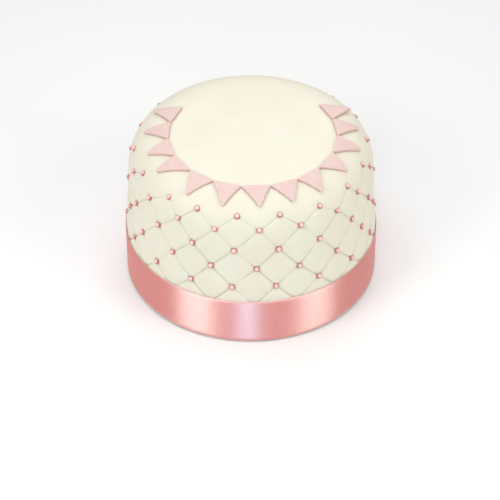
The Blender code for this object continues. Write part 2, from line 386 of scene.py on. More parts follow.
@dataclass(frozen=True)
class RolledIcing:
    """Sugar icing rolled out flat: smooth, hardly shiny, and a little see-through."""

    slot: Slot
    colour: Colour
    cloudy: Colour  # the colour of its faint clouds
    painted_recess_shade: Colour  # painted shade, laid where the icing is pressed in or cut
    painted_shade_mark: Mark
    painted_shade_share: float
    roughness: float
    grain: float
    grain_height: float
    cloud: float = 0.03
    cloud_span: Span = (0.35, 0.7)  # noise up to which it is clear, and from which it is all cloud
    coarse_size: float = 7.0  # of the coarse grain, where the fine grain's is 1
    coarse_height: float = 2.0  # the same for its height
    roughness_spread: float = 0.1
    shine: float = 0.35
    see_through: float = 0.12
    light_depth: float = 0.002  # how far red light goes into it
    light_reach: Colour = (1.0, 0.75, 0.5)  # how far each colour goes, for 1 of red

    def material(self) -> bpy.types.Material:
        """Makes the icing's material.

        Returns:
            The material.
        """
        surface = Surface(self.slot.value)
        place = surface.place()
        clouds = surface.noise(place, self.cloud, detail=3.0).ramp(*self.cloud_span)
        colour = surface.mix(clouds, self.colour, self.cloudy)
        # Painted shade: the icing's colour is darkened in its grooves or on its cut edges
        painted_shade = surface.mark(self.painted_shade_mark) * self.painted_shade_share
        fine, coarse = surface.noise(place, self.grain), surface.noise(place, self.coarse_size * self.grain)
        surface.set(
            Base_Color=surface.mix(painted_shade, colour, self.painted_recess_shade),
            Roughness=self.roughness + self.roughness_spread * coarse,
            Normal=surface.bump(self.grain_height * (fine + self.coarse_height * coarse)),
            Subsurface_Weight=self.see_through,
            Subsurface_Radius=self.light_reach,
            Subsurface_Scale=self.light_depth,
            Specular_IOR_Level=self.shine,
        )
        return surface.material


@dataclass(frozen=True)
class PearlSugar:
    """The shimmering coat of a sugar pearl."""

    slot: Slot
    deep_tone_and_rim_shade: Colour  # the deeper of the pearls' random tones, kept dark to paint shade round each pearl's rim
    # the lighter of the random tones, also kept dark to paint shade round the rim
    light: Colour
    # painted highlight: the pale colour laid on the upward-facing crown of each pearl
    crown: Colour
    painted_highlight_span: Span = (0.62, 0.9)  # how much a place faces up where the painted highlight begins and is full
    painted_highlight_blur: float = 0.12  # how uneven the painted highlight's edge is
    tone_share: float = 0.6  # how far the pearls differ between deep and light
    dust: float = 0.0006
    dust_share: float = 0.5  # how far the dust differs between them
    dust_level: float = 0.4  # the noise that leaves a pearl at its own shade
    dust_height: float = 0.00002
    roughness: float = 0.3
    roughness_spread: float = 0.12
    refraction: float = 1.9
    shine: float = 0.8
    gloss: float = 0.6  # weight of the clear coat
    gloss_roughness: float = 0.06

    def material(self) -> bpy.types.Material:
        """Makes the pearls' material.

        Returns:
            The material.
        """
        surface = Surface(self.slot.value)
        dust = surface.noise(surface.place(), self.dust, detail=3.0)
        shade = self.tone_share * surface.mark(Mark.TONE) + self.dust_share * (dust - self.dust_level)
        # Painted highlight: the pale crown colour goes on the upward-facing top
        crown = surface.mark(Mark.CROWN) + self.painted_highlight_blur * (dust - NOISE_MIDDLE)
        # Painted shade: off the crown, the dark coat tones darken each pearl's rim
        coat = surface.mix(shade, self.deep_tone_and_rim_shade, self.light)
        surface.set(
            Base_Color=surface.mix(crown.ramp(*self.painted_highlight_span), coat, self.crown),
            Roughness=self.roughness + self.roughness_spread * dust,
            IOR=self.refraction,
            Specular_IOR_Level=self.shine,
            Coat_Weight=self.gloss,
            Coat_Roughness=self.gloss_roughness,
            Normal=surface.bump(self.dust_height * dust),
        )
        return surface.material


@dataclass(frozen=True)
class Satin:
    """Satin ribbon, whose long floating threads run along it."""

    slot: Slot
    colour: Colour
    painted_sheen: Colour  # painted sheen, lighter where the light catches between the threads, laid on random slubs
    edge: Colour  # the woven edge, painted paler as a highlight
    painted_sheen_span: Span = (0.3, 0.8)  # the slubs' noise where the painted sheen begins and is full
    edge_highlight_share: float = 0.8
    edge_width: float = 0.0009
    # Patterns drawn out along the ribbon: change along it for 1 across it, size, and finer layers
    threads: tuple[float, float, float] = (0.04, 0.00025, 1.0)
    slubs: tuple[float, float, float] = (0.4, 0.001, 2.0)
    glints: tuple[float, float, float] = (0.6, 0.0008, 3.0)
    lean: float = 0.76  # how far the threads' faces lean upwards
    spread: float = 0.3  # how much that differs from thread to thread
    sparkle: float = 0.33  # how much their faces tilt at random
    roughness: float = 0.31
    roughness_spread: float = 0.1
    refraction: float = 2.35
    shine: float = 1.0
    streak: float = 0.7  # how much highlights stretch
    streak_turn: float = 0.25  # of a full turn

    def material(self, half_width: float) -> bpy.types.Material:
        """Makes the ribbon's material.

        Args:
            half_width: Half the ribbon's width.

        Returns:
            The material.
        """
        surface = Surface(self.slot.value)
        flat = surface.node("ShaderNodeUVMap", {"uv_map": Mark.UV.value})

        def pattern(pace: float, grain: float, detail: float, output: str | int = 0) -> Wire:
            """Noise on the flat ribbon, which changes at that pace along it."""
            drawn_out = surface.vector("MULTIPLY", flat, (pace, 1.0, 1.0))
            return surface.noise(drawn_out, grain, detail, output=output)

        threads = pattern(*self.threads)
        glints = pattern(*self.glints, output="Color")
        from_middle = surface.mark(Mark.ACROSS).size()
        # Painted highlight: a paler band along both woven edges
        edge = from_middle.ramp(half_width - self.edge_width, half_width - self.edge_width / 2)
        # Painted sheen, laid on random slubs
        colour = surface.mix(pattern(*self.slubs).ramp(*self.painted_sheen_span), self.colour, self.painted_sheen)
        tilt = surface.scaled(surface.vector("SUBTRACT", glints, (NOISE_MIDDLE,) * 3), self.sparkle)
        upwards = surface.joined(Z=self.lean + self.spread * (threads - NOISE_MIDDLE))
        normal = surface.node("ShaderNodeNewGeometry", output="Normal")
        leaning = surface.vector("ADD", surface.vector("ADD", normal, tilt), upwards)
        surface.set(
            Base_Color=surface.mix(self.edge_highlight_share * edge, colour, self.edge),
            Roughness=self.roughness + self.roughness_spread * threads,
            IOR=self.refraction,
            Specular_IOR_Level=self.shine,
            Anisotropic=self.streak,
            Anisotropic_Rotation=self.streak_turn,
            Normal=surface.vector("NORMALIZE", leaning),
        )
        return surface.material


CREAM_ICING = RolledIcing(
    slot=Slot.CREAM_ICING,
    colour=(0.85, 0.80, 0.672),
    cloudy=(0.835, 0.775, 0.64),
    # Its recess colour is painted shade in the quilt's grooves
    painted_recess_shade=(0.60, 0.58, 0.46),
    painted_shade_mark=Mark.PRESSED,
    painted_shade_share=0.28,
    roughness=0.42,
    grain=0.0006,
    grain_height=0.000012,
)
PINK_ICING = RolledIcing(
    slot=Slot.PINK_ICING,
    colour=(0.80, 0.595, 0.56),
    cloudy=(0.785, 0.56, 0.52),
    # Its recess colour is painted shade on the pennants' cut edges
    painted_recess_shade=(0.75, 0.52, 0.475),
    painted_shade_mark=Mark.CUT,
    painted_shade_share=0.6,
    roughness=0.5,
    grain=0.0005,
    grain_height=0.00005,
    cloud=0.008,
)
PEARL_SUGAR = PearlSugar(
    slot=Slot.SUGAR_PEARL,
    # The two dark tones paint shade round the rims, and the crown colour paints a highlight on top
    deep_tone_and_rim_shade=(0.46, 0.07, 0.08),
    light=(0.56, 0.11, 0.12),
    crown=(0.95, 0.56, 0.53),
)
PINK_SATIN = Satin(
    slot=Slot.PINK_SATIN,
    colour=(0.94, 0.185, 0.16),
    # The glow colour is a painted sheen
    painted_sheen=(1.0, 0.285, 0.255),
    # The woven edge's colour is painted paler as a highlight
    edge=(0.92, 0.62, 0.56),
)


# ---------------------------------------------------------------- places, meshes and pieces


def around(azimuth: Any, radius: Any, height: Any = 0.0) -> np.ndarray:
    """Points round the cake's axis at those azimuths, radii and heights."""
    parts = np.broadcast_arrays(radius * np.sin(azimuth), -radius * np.cos(azimuth), height)
    return np.stack(parts, axis=-1)


def wrapped(angle: np.ndarray) -> np.ndarray:
    """Angles as the same ones between minus and plus half a turn."""
    return np.angle(np.exp(1j * angle))


def fade_in(values: np.ndarray, start: float, width: float) -> np.ndarray:
    """0 up to start and 1 from start + width, and straight in between."""
    return np.clip((values - start) / width, 0, 1)


def eased(share: np.ndarray) -> np.ndarray:
    """Shares from 0 to 1 with soft ends."""
    return share**2 * (3 - 2 * share)


def band(upper: Sequence[int], lower: Sequence[int]) -> list[Sequence[int]]:
    """Quads between two closed loops whose points pair up."""
    return [(upper[i - 1], lower[i - 1], lower[i], upper[i]) for i in range(len(upper))]


def fan(middle: int, ring: Sequence[int]) -> list[Sequence[int]]:
    """Triangles from a middle point to the closed loop round it."""
    return [(middle, ring[i - 1], ring[i]) for i in range(len(ring))]


def new_object(name: str, data: bpy.types.ID) -> bpy.types.Object:
    """Puts a mesh, a light or a camera in the scene as an object at the origin.

    Args:
        name: The object's name.
        data: What it shows.

    Returns:
        The object.
    """
    made = bpy.data.objects.new(name, data)
    bpy.context.scene.collection.objects.link(made)
    return made


def add_marks(mesh: bpy.types.Mesh, marks: Mapping[Mark, Any]) -> None:
    """Writes numbers or vectors at the points of a mesh.

    Args:
        mesh: The mesh.
        marks: For each mark, one number or one vector for each point.
    """
    for mark, given in marks.items():
        values = np.asarray(given, dtype=np.float32)
        kind, field_name = ("FLOAT", "value") if values.ndim == 1 else ("FLOAT_VECTOR", "vector")
        attribute = mesh.attributes.new(mark.value, kind, "POINT")
        attribute.data.foreach_set(field_name, values.ravel())


def fit(piece: bpy.types.Object, slot: Slot, node: str) -> None:
    """Makes a piece ride on the cake in place of a CAD node.

    Args:
        piece: The finished piece.
        slot: The material slot of its finish. Not used.
        node: The node that it stands for.
    """
    piece.data.shade_smooth()
    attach(piece, ROOT)
    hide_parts(node)
    log.info("%s: %d faces in place of %s", piece.name, len(piece.data.polygons), node)


@dataclass(frozen=True)
class CakeShape:
    """The smooth cake, turned from one half of its outline."""

    height: float = 0.130
    side_radius: float = 0.0988
    side_taper: float = 0.065  # radius lost for each unit of height above the ribbon
    taper_from: float = 0.040
    crown: float = 0.0012
    crown_radius: float = 0.070
    shoulder_width: float = 0.0488
    shoulder_height: float = 0.0531
    shoulder_fullness: float = 3.6  # 2 is an ellipse, more is squarer
    foot_rounding: float = 0.004
    shoulder_points: int = 4000
    foot_points: int = 16
    step: float = 0.00025
    softening: float = 0.003  # how far the side's slope is blended into the shoulder's
    soft_steps: int = 48  # how many points on either side the blend takes in
    soft_from: float = 0.046  # height where it begins
    bulge: float = 0.0008  # how far the soft icing bulges round the lower half of the side
    bulge_to: float = 0.052  # height from which it fades out upwards
    bulge_fade: float = 0.026
    bulge_from: float = 0.020  # height where it begins, behind the ribbon
    onset: float = 0.006  # height over which the softening and the bulge set in

    def plain_outline(self) -> np.ndarray:
        """Radii and heights from the middle of the top down, before anything is softened.

        Returns:
            A row of radii and a row of heights.
        """
        top = self.height - self.crown
        foot = top - self.shoulder_height
        flat_radius = self.side_radius - self.side_taper * (foot - self.taper_from) - self.shoulder_width
        angle, power = np.linspace(0, QUARTER, self.shoulder_points), 2 / self.shoulder_fullness
        shoulder_radius = flat_radius + self.shoulder_width * np.sin(angle) ** power
        shoulder_height = foot + self.shoulder_height * np.maximum(np.cos(angle), 0) ** power
        rounding = np.linspace(0, QUARTER, self.foot_points)
        foot_radius = self.side_radius - self.foot_rounding * (1 - np.cos(rounding))
        foot_height = self.foot_rounding * (1 - np.sin(rounding))
        radius = np.concatenate([[0.0], shoulder_radius, [self.side_radius], foot_radius])
        height = np.concatenate([[top], shoulder_height, [self.taper_from], foot_height])
        return np.array([radius, height])

    @cached_property
    def outline(self) -> np.ndarray:
        """Radius, height and distance of evenly spaced points, from the middle of the top down.

        Returns:
            One row for each of the three.
        """
        line = self.plain_outline()
        reach = np.concatenate([[0], np.cumsum(np.hypot(*np.diff(line)))])
        even = np.linspace(0, reach[-1], round(reach[-1] / self.step))
        radius, height = (np.interp(even, reach, values) for values in line)

        steps = np.arange(-self.soft_steps, self.soft_steps + 1)
        kernel = np.exp(-((steps * self.step / self.softening) ** 2) / 2)
        kernel /= kernel.sum()
        share = fade_in(height, self.soft_from, self.onset)
        for values, mirror in ((radius, -1), (height, 1)):
            before, after = mirror * values[self.soft_steps : 0 : -1], np.full(self.soft_steps, values[-1])
            blended = np.convolve(np.concatenate([before, values, after]), kernel, "valid")
            values += share * (blended - values)
        height += self.crown * np.clip(1 - (radius / self.crown_radius) ** 2, 0, 1) ** 2
        above = np.maximum(height - self.bulge_to, 0) / self.bulge_fade
        radius += self.bulge * np.exp(-(above**2)) * fade_in(height, self.bulge_from, self.onset)
        return np.array([radius, height, even])

    @property
    def reach(self) -> float:
        """Distance of the base's edge."""
        return float(self.outline[2, -1])

    def distance_at(self, height: float) -> float:
        """Distance of the ring on the side at that height."""
        return float(np.interp(-height, -self.outline[1], self.outline[2]))

    def outward(self, azimuth: np.ndarray, distance: np.ndarray) -> np.ndarray:
        """Unit vectors straight out of the surface.

        Args:
            azimuth: Azimuths.
            distance: Distances.

        Returns:
            One vector for each place.
        """
        radius, height, reach = self.outline
        slopes = (-np.gradient(height, reach), np.gradient(radius, reach))
        sideways, upwards = (np.interp(distance, reach, slope) for slope in slopes)
        return around(azimuth, sideways, upwards)

    def point(self, azimuth: np.ndarray, distance: np.ndarray, out: Any = 0.0) -> np.ndarray:
        """Points on or above the surface.

        Args:
            azimuth: Azimuths.
            distance: Distances.
            out: How far outwards the points are moved.

        Returns:
            One point for each place.
        """
        radius, height = (np.interp(distance, self.outline[2], values) for values in self.outline[:2])
        step = np.asarray(out)[..., None] * self.outward(azimuth, distance)
        return around(azimuth, radius, height) + step


@dataclass(frozen=True)
class RibbonLine:
    """Where the ribbon runs round the foot of the cake."""

    width: float = 0.040
    radius: float = 0.0998
    clearance: float = 0.0006
    rise: float = 0.0020  # how much higher it runs at the sides and the back than at the front

    def low_edge(self, azimuth: np.ndarray) -> np.ndarray:
        """Height of its lower edge at each azimuth."""
        return self.clearance + self.rise * eased(fade_in(np.abs(wrapped(azimuth)), 0, QUARTER))


@dataclass(frozen=True)
class QuiltLattice:
    """Where the quilt's grooves cross: (p, q) lies in row p + q and in half column p - q."""

    columns: int = 18
    rows: int = 6
    pearl_rows: int = 5
    turn: float = math.radians(13.75)  # azimuth of a pearl of the top row
    lean: float = math.radians(-0.5)  # how much further round each row starts than the one above
    top_row: float = 0.0945
    top_row_gap: float = 0.0124
    row_gap: float = 0.0172
    top_fade: float = 0.35  # share of the relief that the uppermost crossings have
    wobble: float = 0.00045  # how far off a crossing usually is
    wobble_radius: float = 0.0988  # where a step to the side is turned into an azimuth
    seed: int = 7
    # Crossings well off their even place: half column, row, and millimetres to the right and down
    strayed: tuple[tuple[int, int, float, float], ...] = (
        (-6, 0, 5.5, 0.5),
        (2, 0, 1.0, 2.0),
        (6, 0, -2.5, -1.0),
        (-9, 1, 3.5, -4.0),
        (-7, 1, 3.0, -1.0),
        (-5, 1, 2.0, 0.5),
        (5, 1, -6.0, -1.5),
        (7, 1, -7.5, -4.0),
        (6, 2, -2.5, 0.0),
        (-7, 3, -3.5, 2.5),
        (1, 3, 0.0, 2.0),
        (3, 3, 0.5, 2.5),
        (4, 4, 1.0, 2.0),
    )
    steps: int = 11  # mesh lines from a groove to a diamond's middle
    crowding: float = 1.8  # how much closer they lie near the groove

    @cached_property
    def shifts(self) -> dict[tuple[int, int], tuple[float, float]]:
        """How far each crossing is from its even place.

        Returns:
            The azimuth and the distance that each half column and row is off by.
        """
        draw = random.Random(self.seed)
        keys = [(column, row) for row in range(self.rows) for column in range(2 * self.columns)]
        found = {
            key: (draw.gauss(0, self.wobble) / self.wobble_radius, draw.gauss(0, self.wobble))
            for key in keys
        }
        for column, row, right, down in self.strayed:
            found[column % (2 * self.columns), row] = (right * MM / self.wobble_radius, down * MM)
        return found

    @cached_property
    def shares(self) -> list[float]:
        """Places of the mesh lines along a diamond's side, 0 up to 1 without 1."""
        half = [0.5 * (k / self.steps) ** self.crowding for k in range(self.steps + 1)]
        return half + [1 - share for share in reversed(half[1:-1])]

    @property
    def side(self) -> float:
        """Length of a diamond's side."""
        return math.hypot(math.pi / self.columns * self.wobble_radius, self.row_gap)

    def crossing(self, p: int, q: int) -> tuple[float, float]:
        """Azimuth and distance of a crossing.

        Args:
            p: Steps down and to the right.
            q: Steps down and to the left.

        Returns:
            The azimuth and the distance.
        """
        row, column = p + q, p - q
        turned, dropped = self.shifts[column % (2 * self.columns), row]
        distance = self.top_row + (self.top_row_gap if row else 0.0) + self.row_gap * max(row - 1, 0)
        azimuth = self.turn + math.pi / self.columns * column + self.lean * row
        return azimuth + turned, distance + dropped

    def seats(self) -> tuple[np.ndarray, np.ndarray]:
        """The crossings that have a pearl, row by row.

        Returns:
            Their azimuths and their distances.
        """
        cells = [(p, row - p) for row in range(self.pearl_rows) for p in range(self.columns)]
        azimuth, distance = np.array([self.crossing(*cell) for cell in cells]).T
        return azimuth, distance

    def place(self, p: int, q: int, s: float, t: float) -> tuple[float, float]:
        """Azimuth and distance inside the diamond that starts at a crossing.

        Args:
            p: The crossing's p.
            q: The crossing's q.
            s: Share of the way along p.
            t: Share of the way along q.

        Returns:
            The azimuth and the distance.
        """
        corners = (
            ((1 - s) * (1 - t), (p, q)),
            (s * (1 - t), (p + 1, q)),
            ((1 - s) * t, (p, q + 1)),
            (s * t, (p + 1, q + 1)),
        )
        found = [(weight, *self.crossing(*corner)) for weight, corner in corners if weight]
        return sum(w * azimuth for w, azimuth, _ in found), sum(w * distance for w, _, distance in found)


@dataclass
class IcingSheet:
    """Collects the points of the icing by azimuth and distance, and the faces between them."""

    azimuth: list[float] = field(default_factory=list)
    distance: list[float] = field(default_factory=list)
    groove: list[float] = field(default_factory=list)
    puff: list[float] = field(default_factory=list)
    fade: list[float] = field(default_factory=list)
    faces: list[Sequence[int]] = field(default_factory=list)

    def add(
        self,
        azimuth: float,
        distance: float,
        groove: float = 1.0,
        puff: float = 1.0,
        fade: float = 0.0,
    ) -> int:
        """Adds a point.

        Args:
            azimuth: Its azimuth.
            distance: Its distance.
            groove: How far it is from the nearest groove's middle.
            puff: 0 at a diamond's edge to 1 on its pillow.
            fade: How much of the relief is there.

        Returns:
            The point's number.
        """
        self.azimuth.append(azimuth)
        self.distance.append(distance)
        self.groove.append(groove)
        self.puff.append(puff)
        self.fade.append(fade)
        return len(self.azimuth) - 1

    def ring(self, sides: int, distance: float) -> list[int]:
        """Adds a circle of points."""
        return [self.add(TURN * i / sides, distance) for i in range(sides)]

    def stitch(self, upper: Sequence[int], lower: Sequence[int]) -> None:
        """Adds triangles between two closed loops of different counts.

        Args:
            upper: The loop nearer the middle of the top.
            lower: The other loop.
        """
        start = self.azimuth[upper[0]] - HAIR

        def unrolled(loop: Sequence[int]) -> list[tuple[float, int]]:
            """Angle from the start and number of each point, and the first again a turn on."""
            found = sorted(((self.azimuth[i] - start) % TURN, i) for i in loop)
            return [*found, (found[0][0] + TURN, found[0][1])]

        above, below = unrolled(upper), unrolled(lower)
        i = j = 0
        while i + 1 < len(above) or j + 1 < len(below):
            below_done = j + 1 == len(below)
            if below_done or (i + 1 < len(above) and above[i + 1][0] <= below[j + 1][0]):
                i += 1
                self.faces.append((above[i - 1][1], below[j][1], above[i][1]))
            else:
                j += 1
                self.faces.append((above[i][1], below[j - 1][1], below[j][1]))


@dataclass
class IcingCover:
    """The rolled icing over the whole cake, with the quilt pressed into its side."""

    shape: CakeShape
    lattice: QuiltLattice
    ribbon: RibbonLine
    finish: RolledIcing
    groove_depth: float = 0.0009
    groove_width: float = 0.0006
    faintest: float = 0.3  # share of its depth that a groove keeps where it is pressed in least
    firmness_size: float = 0.02
    firmness_span: Span = (0.35, 0.6)  # noise up to which that is so, and from which it is full
    pillow_depth: float = 0.0009
    squareness: int = 4  # 2 is a round pillow, more is flatter with a steeper edge
    crease_depth: float = 0.0007
    crease_width: float = 0.0022
    crease_ends: float = 0.012  # length over which each end of a fold fades out
    dimple_depth: float = 0.0005
    dimple_width: float = 0.0028
    pressed_flat: float = 0.4  # share of the quilt's relief that the ribbon leaves behind it
    pressed_below: float = 0.003  # how far below its upper edge the ribbon begins to press less
    pressed_fade: float = 0.005  # height over which its pressure ends
    unevenness: float = 0.0004
    unevenness_size: float = 0.05
    even_below: float = 0.016  # height under which the icing is even
    seed: int = 3
    plain_puff: float = 0.008  # width over which the icing beside the quilt swells to its full height
    top_lines: int = 26
    foot_lines: int = 20
    rim_distance: float = 0.060
    smooth_sides: int = 264
    top_rings: int = 14
    behind_ribbon: float = 0.026  # height where the quilt has ended and the plain foot begins
    foot_gap: float = 0.002
    foot_rings: int = 7
    # Soft upright folds: azimuth in degrees, and the heights between which each one runs
    creases: tuple[tuple[float, float, float], ...] = (
        (-83.0, 0.052, 0.106),
        (-77.0, 0.060, 0.113),
        (-72.0, 0.072, 0.110),
        (-65.0, 0.084, 0.114),
        (67.0, 0.056, 0.100),
        (72.0, 0.050, 0.096),
        (118.0, 0.060, 0.105),
        (-131.0, 0.064, 0.108),
    )

    def quilt_points(self, sheet: IcingSheet) -> Callable[[int, int], int]:
        """Makes the function that gives the point at two mesh lines of the quilt.

        Args:
            sheet: Where new points go.

        Returns:
            A function of two line numbers that returns the point's number.
        """
        lattice, count, known = self.lattice, len(self.lattice.shares), {}

        def pillow(share: float) -> float:
            """How high a diamond is at that share of the way across, 0 to 1."""
            return 1 - (2 * share - 1) ** self.squareness

        def point(i: int, j: int) -> int:
            """Finds or adds the point where two mesh lines meet; neighbouring diamonds share it.

            Args:
                i: Number of the line along p.
                j: Number of the line along q.

            Returns:
                The point's number.
            """
            key = ((i - j) % (2 * lattice.columns * count), i + j)
            if key not in known:
                (p, i), (q, j) = divmod(i, count), divmod(j, count)
                s, t = lattice.shares[i], lattice.shares[j]
                below_top = min(max(p + q + s + t, 0.0), 1.0)
                known[key] = sheet.add(
                    *lattice.place(p, q, s, t),
                    groove=min(s, t, 1 - s, 1 - t) * lattice.side,
                    puff=pillow(s) * pillow(t),
                    fade=lattice.top_fade + (1 - lattice.top_fade) * below_top,
                )
            return known[key]

        return point

    def zigzag(self, point: Callable[[int, int], int], row: int) -> list[int]:
        """The loop of grooves between a row of crossings and the next, by rising azimuth.

        Args:
            point: The function that gives the quilt's points.
            row: The upper row.

        Returns:
            The points' numbers.
        """
        n, loop = len(self.lattice.shares), []
        for p in range(self.lattice.columns):
            i, j = n * p, n * (row - p)
            if row == 0:  # from the row below up to this row and down again
                steps = [(i, j + k) for k in range(n, 0, -1)] + [(i + k, j) for k in range(n)]
            else:  # from this row down to the row below and up again
                steps = [(i + k, j) for k in range(n)] + [(i + n, j - k) for k in range(n)]
            loop += [point(*step) for step in steps]
        return loop

    def easing(
        self,
        sheet: IcingSheet,
        loop: list[int],
        target: float,
        lines: int,
        fade: float = 1.0,
    ) -> list[int]:
        """Leads a zigzag loop over into a level ring.

        Args:
            sheet: The icing so far.
            loop: The zigzag.
            target: The ring's distance.
            lines: How many mesh lines this takes.
            fade: How much of the relief the zigzag has.

        Returns:
            The ring.
        """
        azimuth = np.unwrap([sheet.azimuth[i] for i in loop])
        distance = np.array([sheet.distance[i] for i in loop])
        level = azimuth[0] + TURN * np.arange(len(loop)) / len(loop)
        upwards = target < distance[0]
        for k in range(1, lines + 1):
            share = (k / lines) ** self.lattice.crowding
            away = share * np.abs(target - distance)
            places = zip(
                azimuth + share * (level - azimuth),
                distance + share * (target - distance),
                away * DIAGONAL,  # because the groove runs aslant
                1 - (1 - np.minimum(away / self.plain_puff, 1.0)) ** self.squareness,
            )
            made = [sheet.add(*place, fade) for place in places]
            sheet.faces += band(made, loop) if upwards else band(loop, made)
            loop = made
        return loop

    def sheet(self) -> IcingSheet:
        """Lays out the whole cover before the quilt is pressed in.

        Returns:
            The cover.
        """
        sheet, lattice = IcingSheet(), self.lattice
        point, n = self.quilt_points(sheet), len(self.lattice.shares)
        for row in range(lattice.rows - 2):
            for p in range(lattice.columns):
                for i in range(n * p, n * (p + 1)):
                    for j in range(n * (row - p), n * (row - p + 1)):
                        corners = ((i, j), (i, j + 1), (i + 1, j + 1), (i + 1, j))
                        sheet.faces.append([point(*corner) for corner in corners])

        top = self.easing(sheet, self.zigzag(point, 0), self.rim_distance, self.top_lines, lattice.top_fade)
        rings = [
            sheet.ring(self.smooth_sides, self.rim_distance * (1 - k / self.top_rings))
            for k in range(1, self.top_rings)
        ]
        sheet.stitch(rings[0], top)
        for lower, upper in pairwise(rings):
            sheet.faces += band(upper, lower)
        sheet.faces += fan(sheet.add(0.0, 0.0), rings[-1])

        hidden = self.shape.distance_at(self.behind_ribbon)
        bottom = self.easing(sheet, self.zigzag(point, lattice.rows - 2), hidden, self.foot_lines)
        corner = self.shape.distance_at(self.shape.foot_rounding)
        below = [hidden + self.foot_gap, *np.linspace(corner, self.shape.reach, self.foot_rings)]
        rings = [sheet.ring(self.smooth_sides, float(distance)) for distance in below]
        sheet.stitch(bottom, rings[0])
        for upper, lower in pairwise(rings):
            sheet.faces += band(upper, lower)
        sheet.faces.append(rings[-1][::-1])
        return sheet

    def folds(self, azimuth: np.ndarray, height: np.ndarray) -> np.ndarray:
        """How much of a soft fold there is at each place.

        Args:
            azimuth: The places' azimuths.
            height: Their heights.

        Returns:
            A share from 0 to 1 for each place.
        """
        total = np.zeros_like(azimuth)
        for middle, low, high in self.creases:
            sideways = wrapped(azimuth - math.radians(middle)) * self.shape.side_radius
            ends = fade_in(height, low, self.crease_ends) * fade_in(-height, -high, self.crease_ends)
            total += np.exp(-((sideways / self.crease_width) ** 2)) * ends
        return np.clip(total, 0, 1)

    def free(self, azimuth: np.ndarray, height: np.ndarray) -> np.ndarray:
        """How free each place is of the ribbon's pressure, 0 behind it to 1 above it."""
        above_edge = height - self.ribbon.low_edge(azimuth) - self.ribbon.width
        return eased(fade_in(above_edge, -self.pressed_below, self.pressed_fade))

    def dimples(self, points: np.ndarray) -> np.ndarray:
        """How much of a dimple there is at each point, 1 under a pearl to 0 away from it."""
        seats = self.shape.point(*self.lattice.seats())
        return sum(np.exp(-((points - seat) ** 2).sum(axis=1) / self.dimple_width**2) for seat in seats)

    def press(self) -> Recipe:
        """The recipe that presses grooves, diamonds and folds into the smooth cover.

        Returns:
            The recipe.
        """
        recipe = Recipe("press_quilt")
        groove_depth = recipe.amount("Groove Depth", self.groove_depth)
        groove_width = recipe.amount("Groove Width", self.groove_width)
        faintest = recipe.amount("Faintest Share", self.faintest)
        pillow_depth = recipe.amount("Pillow Depth", self.pillow_depth)
        crease_depth = recipe.amount("Crease Depth", self.crease_depth)
        dimple_depth = recipe.amount("Dimple Depth", self.dimple_depth)
        unevenness = recipe.amount("Unevenness", self.unevenness)
        seed = recipe.amount("Seed", float(self.seed))

        fade, place = recipe.mark(Mark.FADE), recipe.place()
        firm = recipe.noise(place, self.firmness_size, detail=0.0).ramp(*self.firmness_span)
        firmness = faintest + (1 - faintest) * firm
        pressed = firmness * fade * (recipe.mark(Mark.GROOVE) / groove_width).bell()
        waves = recipe.noise(place, self.unevenness_size, detail=1.0, seed=seed)
        above_foot = recipe.part(place, "Z").ramp(self.even_below, self.behind_ribbon)
        sunk = (
            groove_depth * pressed
            + pillow_depth * fade * (1 - recipe.mark(Mark.PUFF))
            + crease_depth * recipe.mark(Mark.CREASE)
            + dimple_depth * recipe.mark(Mark.DIMPLE)
            + unevenness * waves * above_foot
        )
        offset = recipe.scaled(recipe.mark(Mark.OUTWARD, "FLOAT_VECTOR"), -sunk)
        # The same share is kept for the shader, which paints shade into the grooves
        marked = recipe.store(recipe.source(), Mark.PRESSED, pressed)
        recipe.finish(recipe.moved(marked, offset), self.finish.material())
        return recipe

    def build(self) -> bpy.types.Object:
        """Makes the piece that stands for the cake's body.

        Returns:
            The finished piece.
        """
        sheet = self.sheet()
        azimuth, distance = np.array(sheet.azimuth), np.array(sheet.distance)
        points = self.shape.point(azimuth, distance)
        height = points[:, 2]
        kept = self.pressed_flat + (1 - self.pressed_flat) * self.free(azimuth, height)
        marks = {
            Mark.OUTWARD: self.shape.outward(azimuth, distance),
            Mark.GROOVE: sheet.groove,
            Mark.PUFF: sheet.puff,
            Mark.FADE: np.array(sheet.fade) * kept,
            Mark.CREASE: self.folds(azimuth, height),
            Mark.DIMPLE: self.dimples(points),
        }
        mesh = bpy.data.meshes.new("icing")
        mesh.from_pydata(points.tolist(), [], sheet.faces)
        add_marks(mesh, marks)
        piece = new_object("icing", mesh)
        self.press().run(piece)
        fit(piece, self.finish.slot, "cake_body")
        return piece


